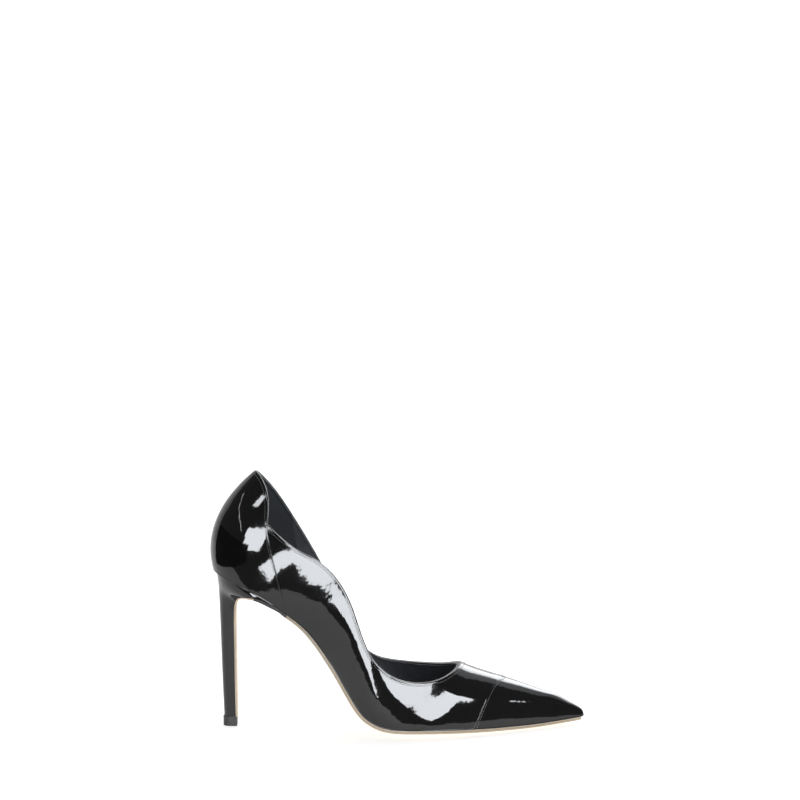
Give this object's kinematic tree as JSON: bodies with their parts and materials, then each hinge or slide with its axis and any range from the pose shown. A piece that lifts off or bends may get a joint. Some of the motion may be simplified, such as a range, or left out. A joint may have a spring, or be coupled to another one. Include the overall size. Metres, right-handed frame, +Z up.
{
  "type": "high heel pump",
  "caption": "Right pointed-toe court shoe in black patent leather with a toe cap, a scalloped outer topline, a covered stiletto heel and a nude leather sole.",
  "frame": {"origin": "on the floor, under the middle of the shoe's bounding box", "axes": "+X to the toe, +Y to the inner side of the foot, +Z up"},
  "size_m": [0.234, 0.0728, 0.1616],
  "materials": {
    "patent_leather": "patent, mirror gloss black",
    "patent_heel": "patent, mirror gloss black, stretched round the heel",
    "lining_leather": "fine grain, blue black",
    "grip_leather": "suede side out, blue black",
    "sock_leather": "fine grain, blue black",
    "sole_leather": "smooth natural, nude",
    "board": "compressed fibre board",
    "puff_felt": "resin stiffened felt",
    "drill": "cotton drill",
    "tape": "woven nylon tape",
    "foam": "open cell foam",
    "cork": "cork and latex filler",
    "shank_steel": "tempered spring steel",
    "fastener_steel": "bright steel",
    "heel_plastic": "moulded ABS",
    "wear_rubber": "black polyurethane"
  },
  "bodies": {
    "root": {"cork_filler": "cork", "counter_panel": "patent_leather", "foam_cushion": "foam", "heel_core": "heel_plastic", "heel_cover": "patent_heel", "heel_lining": "grip_leather", "heel_nails": "fastener_steel", "heel_screw": "fastener_steel", "heel_stiffener": "puff_felt", "heel_tube": "fastener_steel", "insole_board": "board", "interlining": "drill", "outsole": "sole_leather", "shank_rivets": "fastener_steel", "sock_lining": "sock_leather", "steel_shank": "shank_steel", "toe_cap": "patent_leather", "toe_puff": "puff_felt", "top_piece": "wear_rubber", "top_piece_pin": "fastener_steel", "topline_tape": "tape", "vamp": "patent_leather", "vamp_lining": "lining_leather"}
  },
  "joints": []
}
